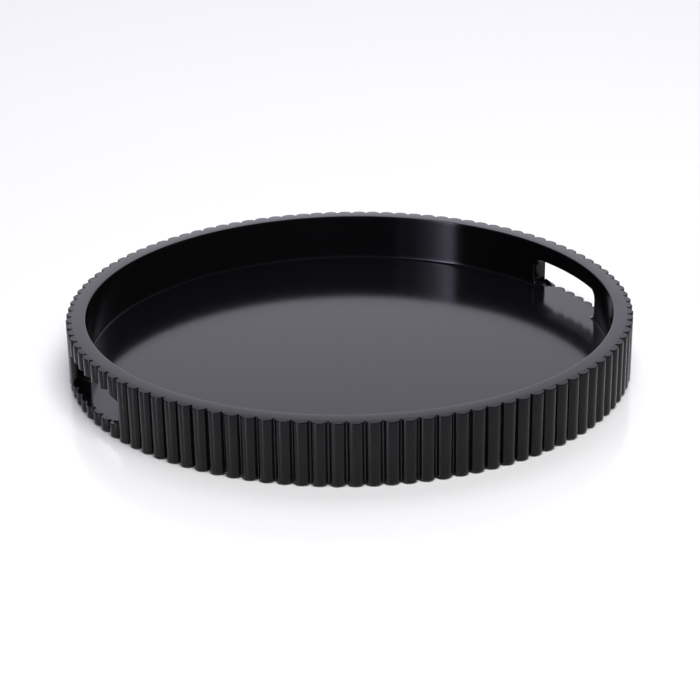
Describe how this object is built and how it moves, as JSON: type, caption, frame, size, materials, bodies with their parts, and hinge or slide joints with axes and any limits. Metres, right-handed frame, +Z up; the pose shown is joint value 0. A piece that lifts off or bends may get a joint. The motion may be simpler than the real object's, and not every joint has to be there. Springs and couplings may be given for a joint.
{
  "type": "serving tray",
  "caption": "Round serving tray with a level floor, an upright reeded wall, a flat rim and two hand openings cut through the wall, in gloss black lacquer.",
  "frame": {"origin": "centre of the surface that the tray stands on, under the middle of the felt", "axes": "+Z up; +X and -X point through the two hand openings; +Y is across them, so -Y is the front"},
  "size_m": [0.4572, 0.4572, 0.0508],
  "materials": {
    "black_lacquer": "gloss black lacquer over fibreboard",
    "screw_steel": "zinc plated",
    "black_felt": "pressed felt"
  },
  "bodies": {
    "root": {"base_panel": "black_lacquer", "front_wall_lower": "black_lacquer", "front_wall_upper": "black_lacquer", "rear_wall_lower": "black_lacquer", "rear_wall_upper": "black_lacquer", "top_ring": "black_lacquer", "front_reeds_1": "black_lacquer", "front_reeds_2": "black_lacquer", "front_reeds_3": "black_lacquer", "front_reeds_4": "black_lacquer", "front_reeds_5": "black_lacquer", "front_reeds_6": "black_lacquer", "front_reeds_7": "black_lacquer", "front_reeds_8": "black_lacquer", "rear_reeds_1": "black_lacquer", "rear_reeds_2": "black_lacquer", "rear_reeds_3": "black_lacquer", "rear_reeds_4": "black_lacquer", "rear_reeds_5": "black_lacquer", "rear_reeds_6": "black_lacquer", "rear_reeds_7": "black_lacquer", "rear_reeds_8": "black_lacquer", "left_grip_lower_reeds": "black_lacquer", "left_grip_upper_reeds": "black_lacquer", "right_grip_lower_reeds": "black_lacquer", "right_grip_upper_reeds": "black_lacquer", "base_screws": "screw_steel", "felt_liner": "black_felt"}
  },
  "joints": []
}
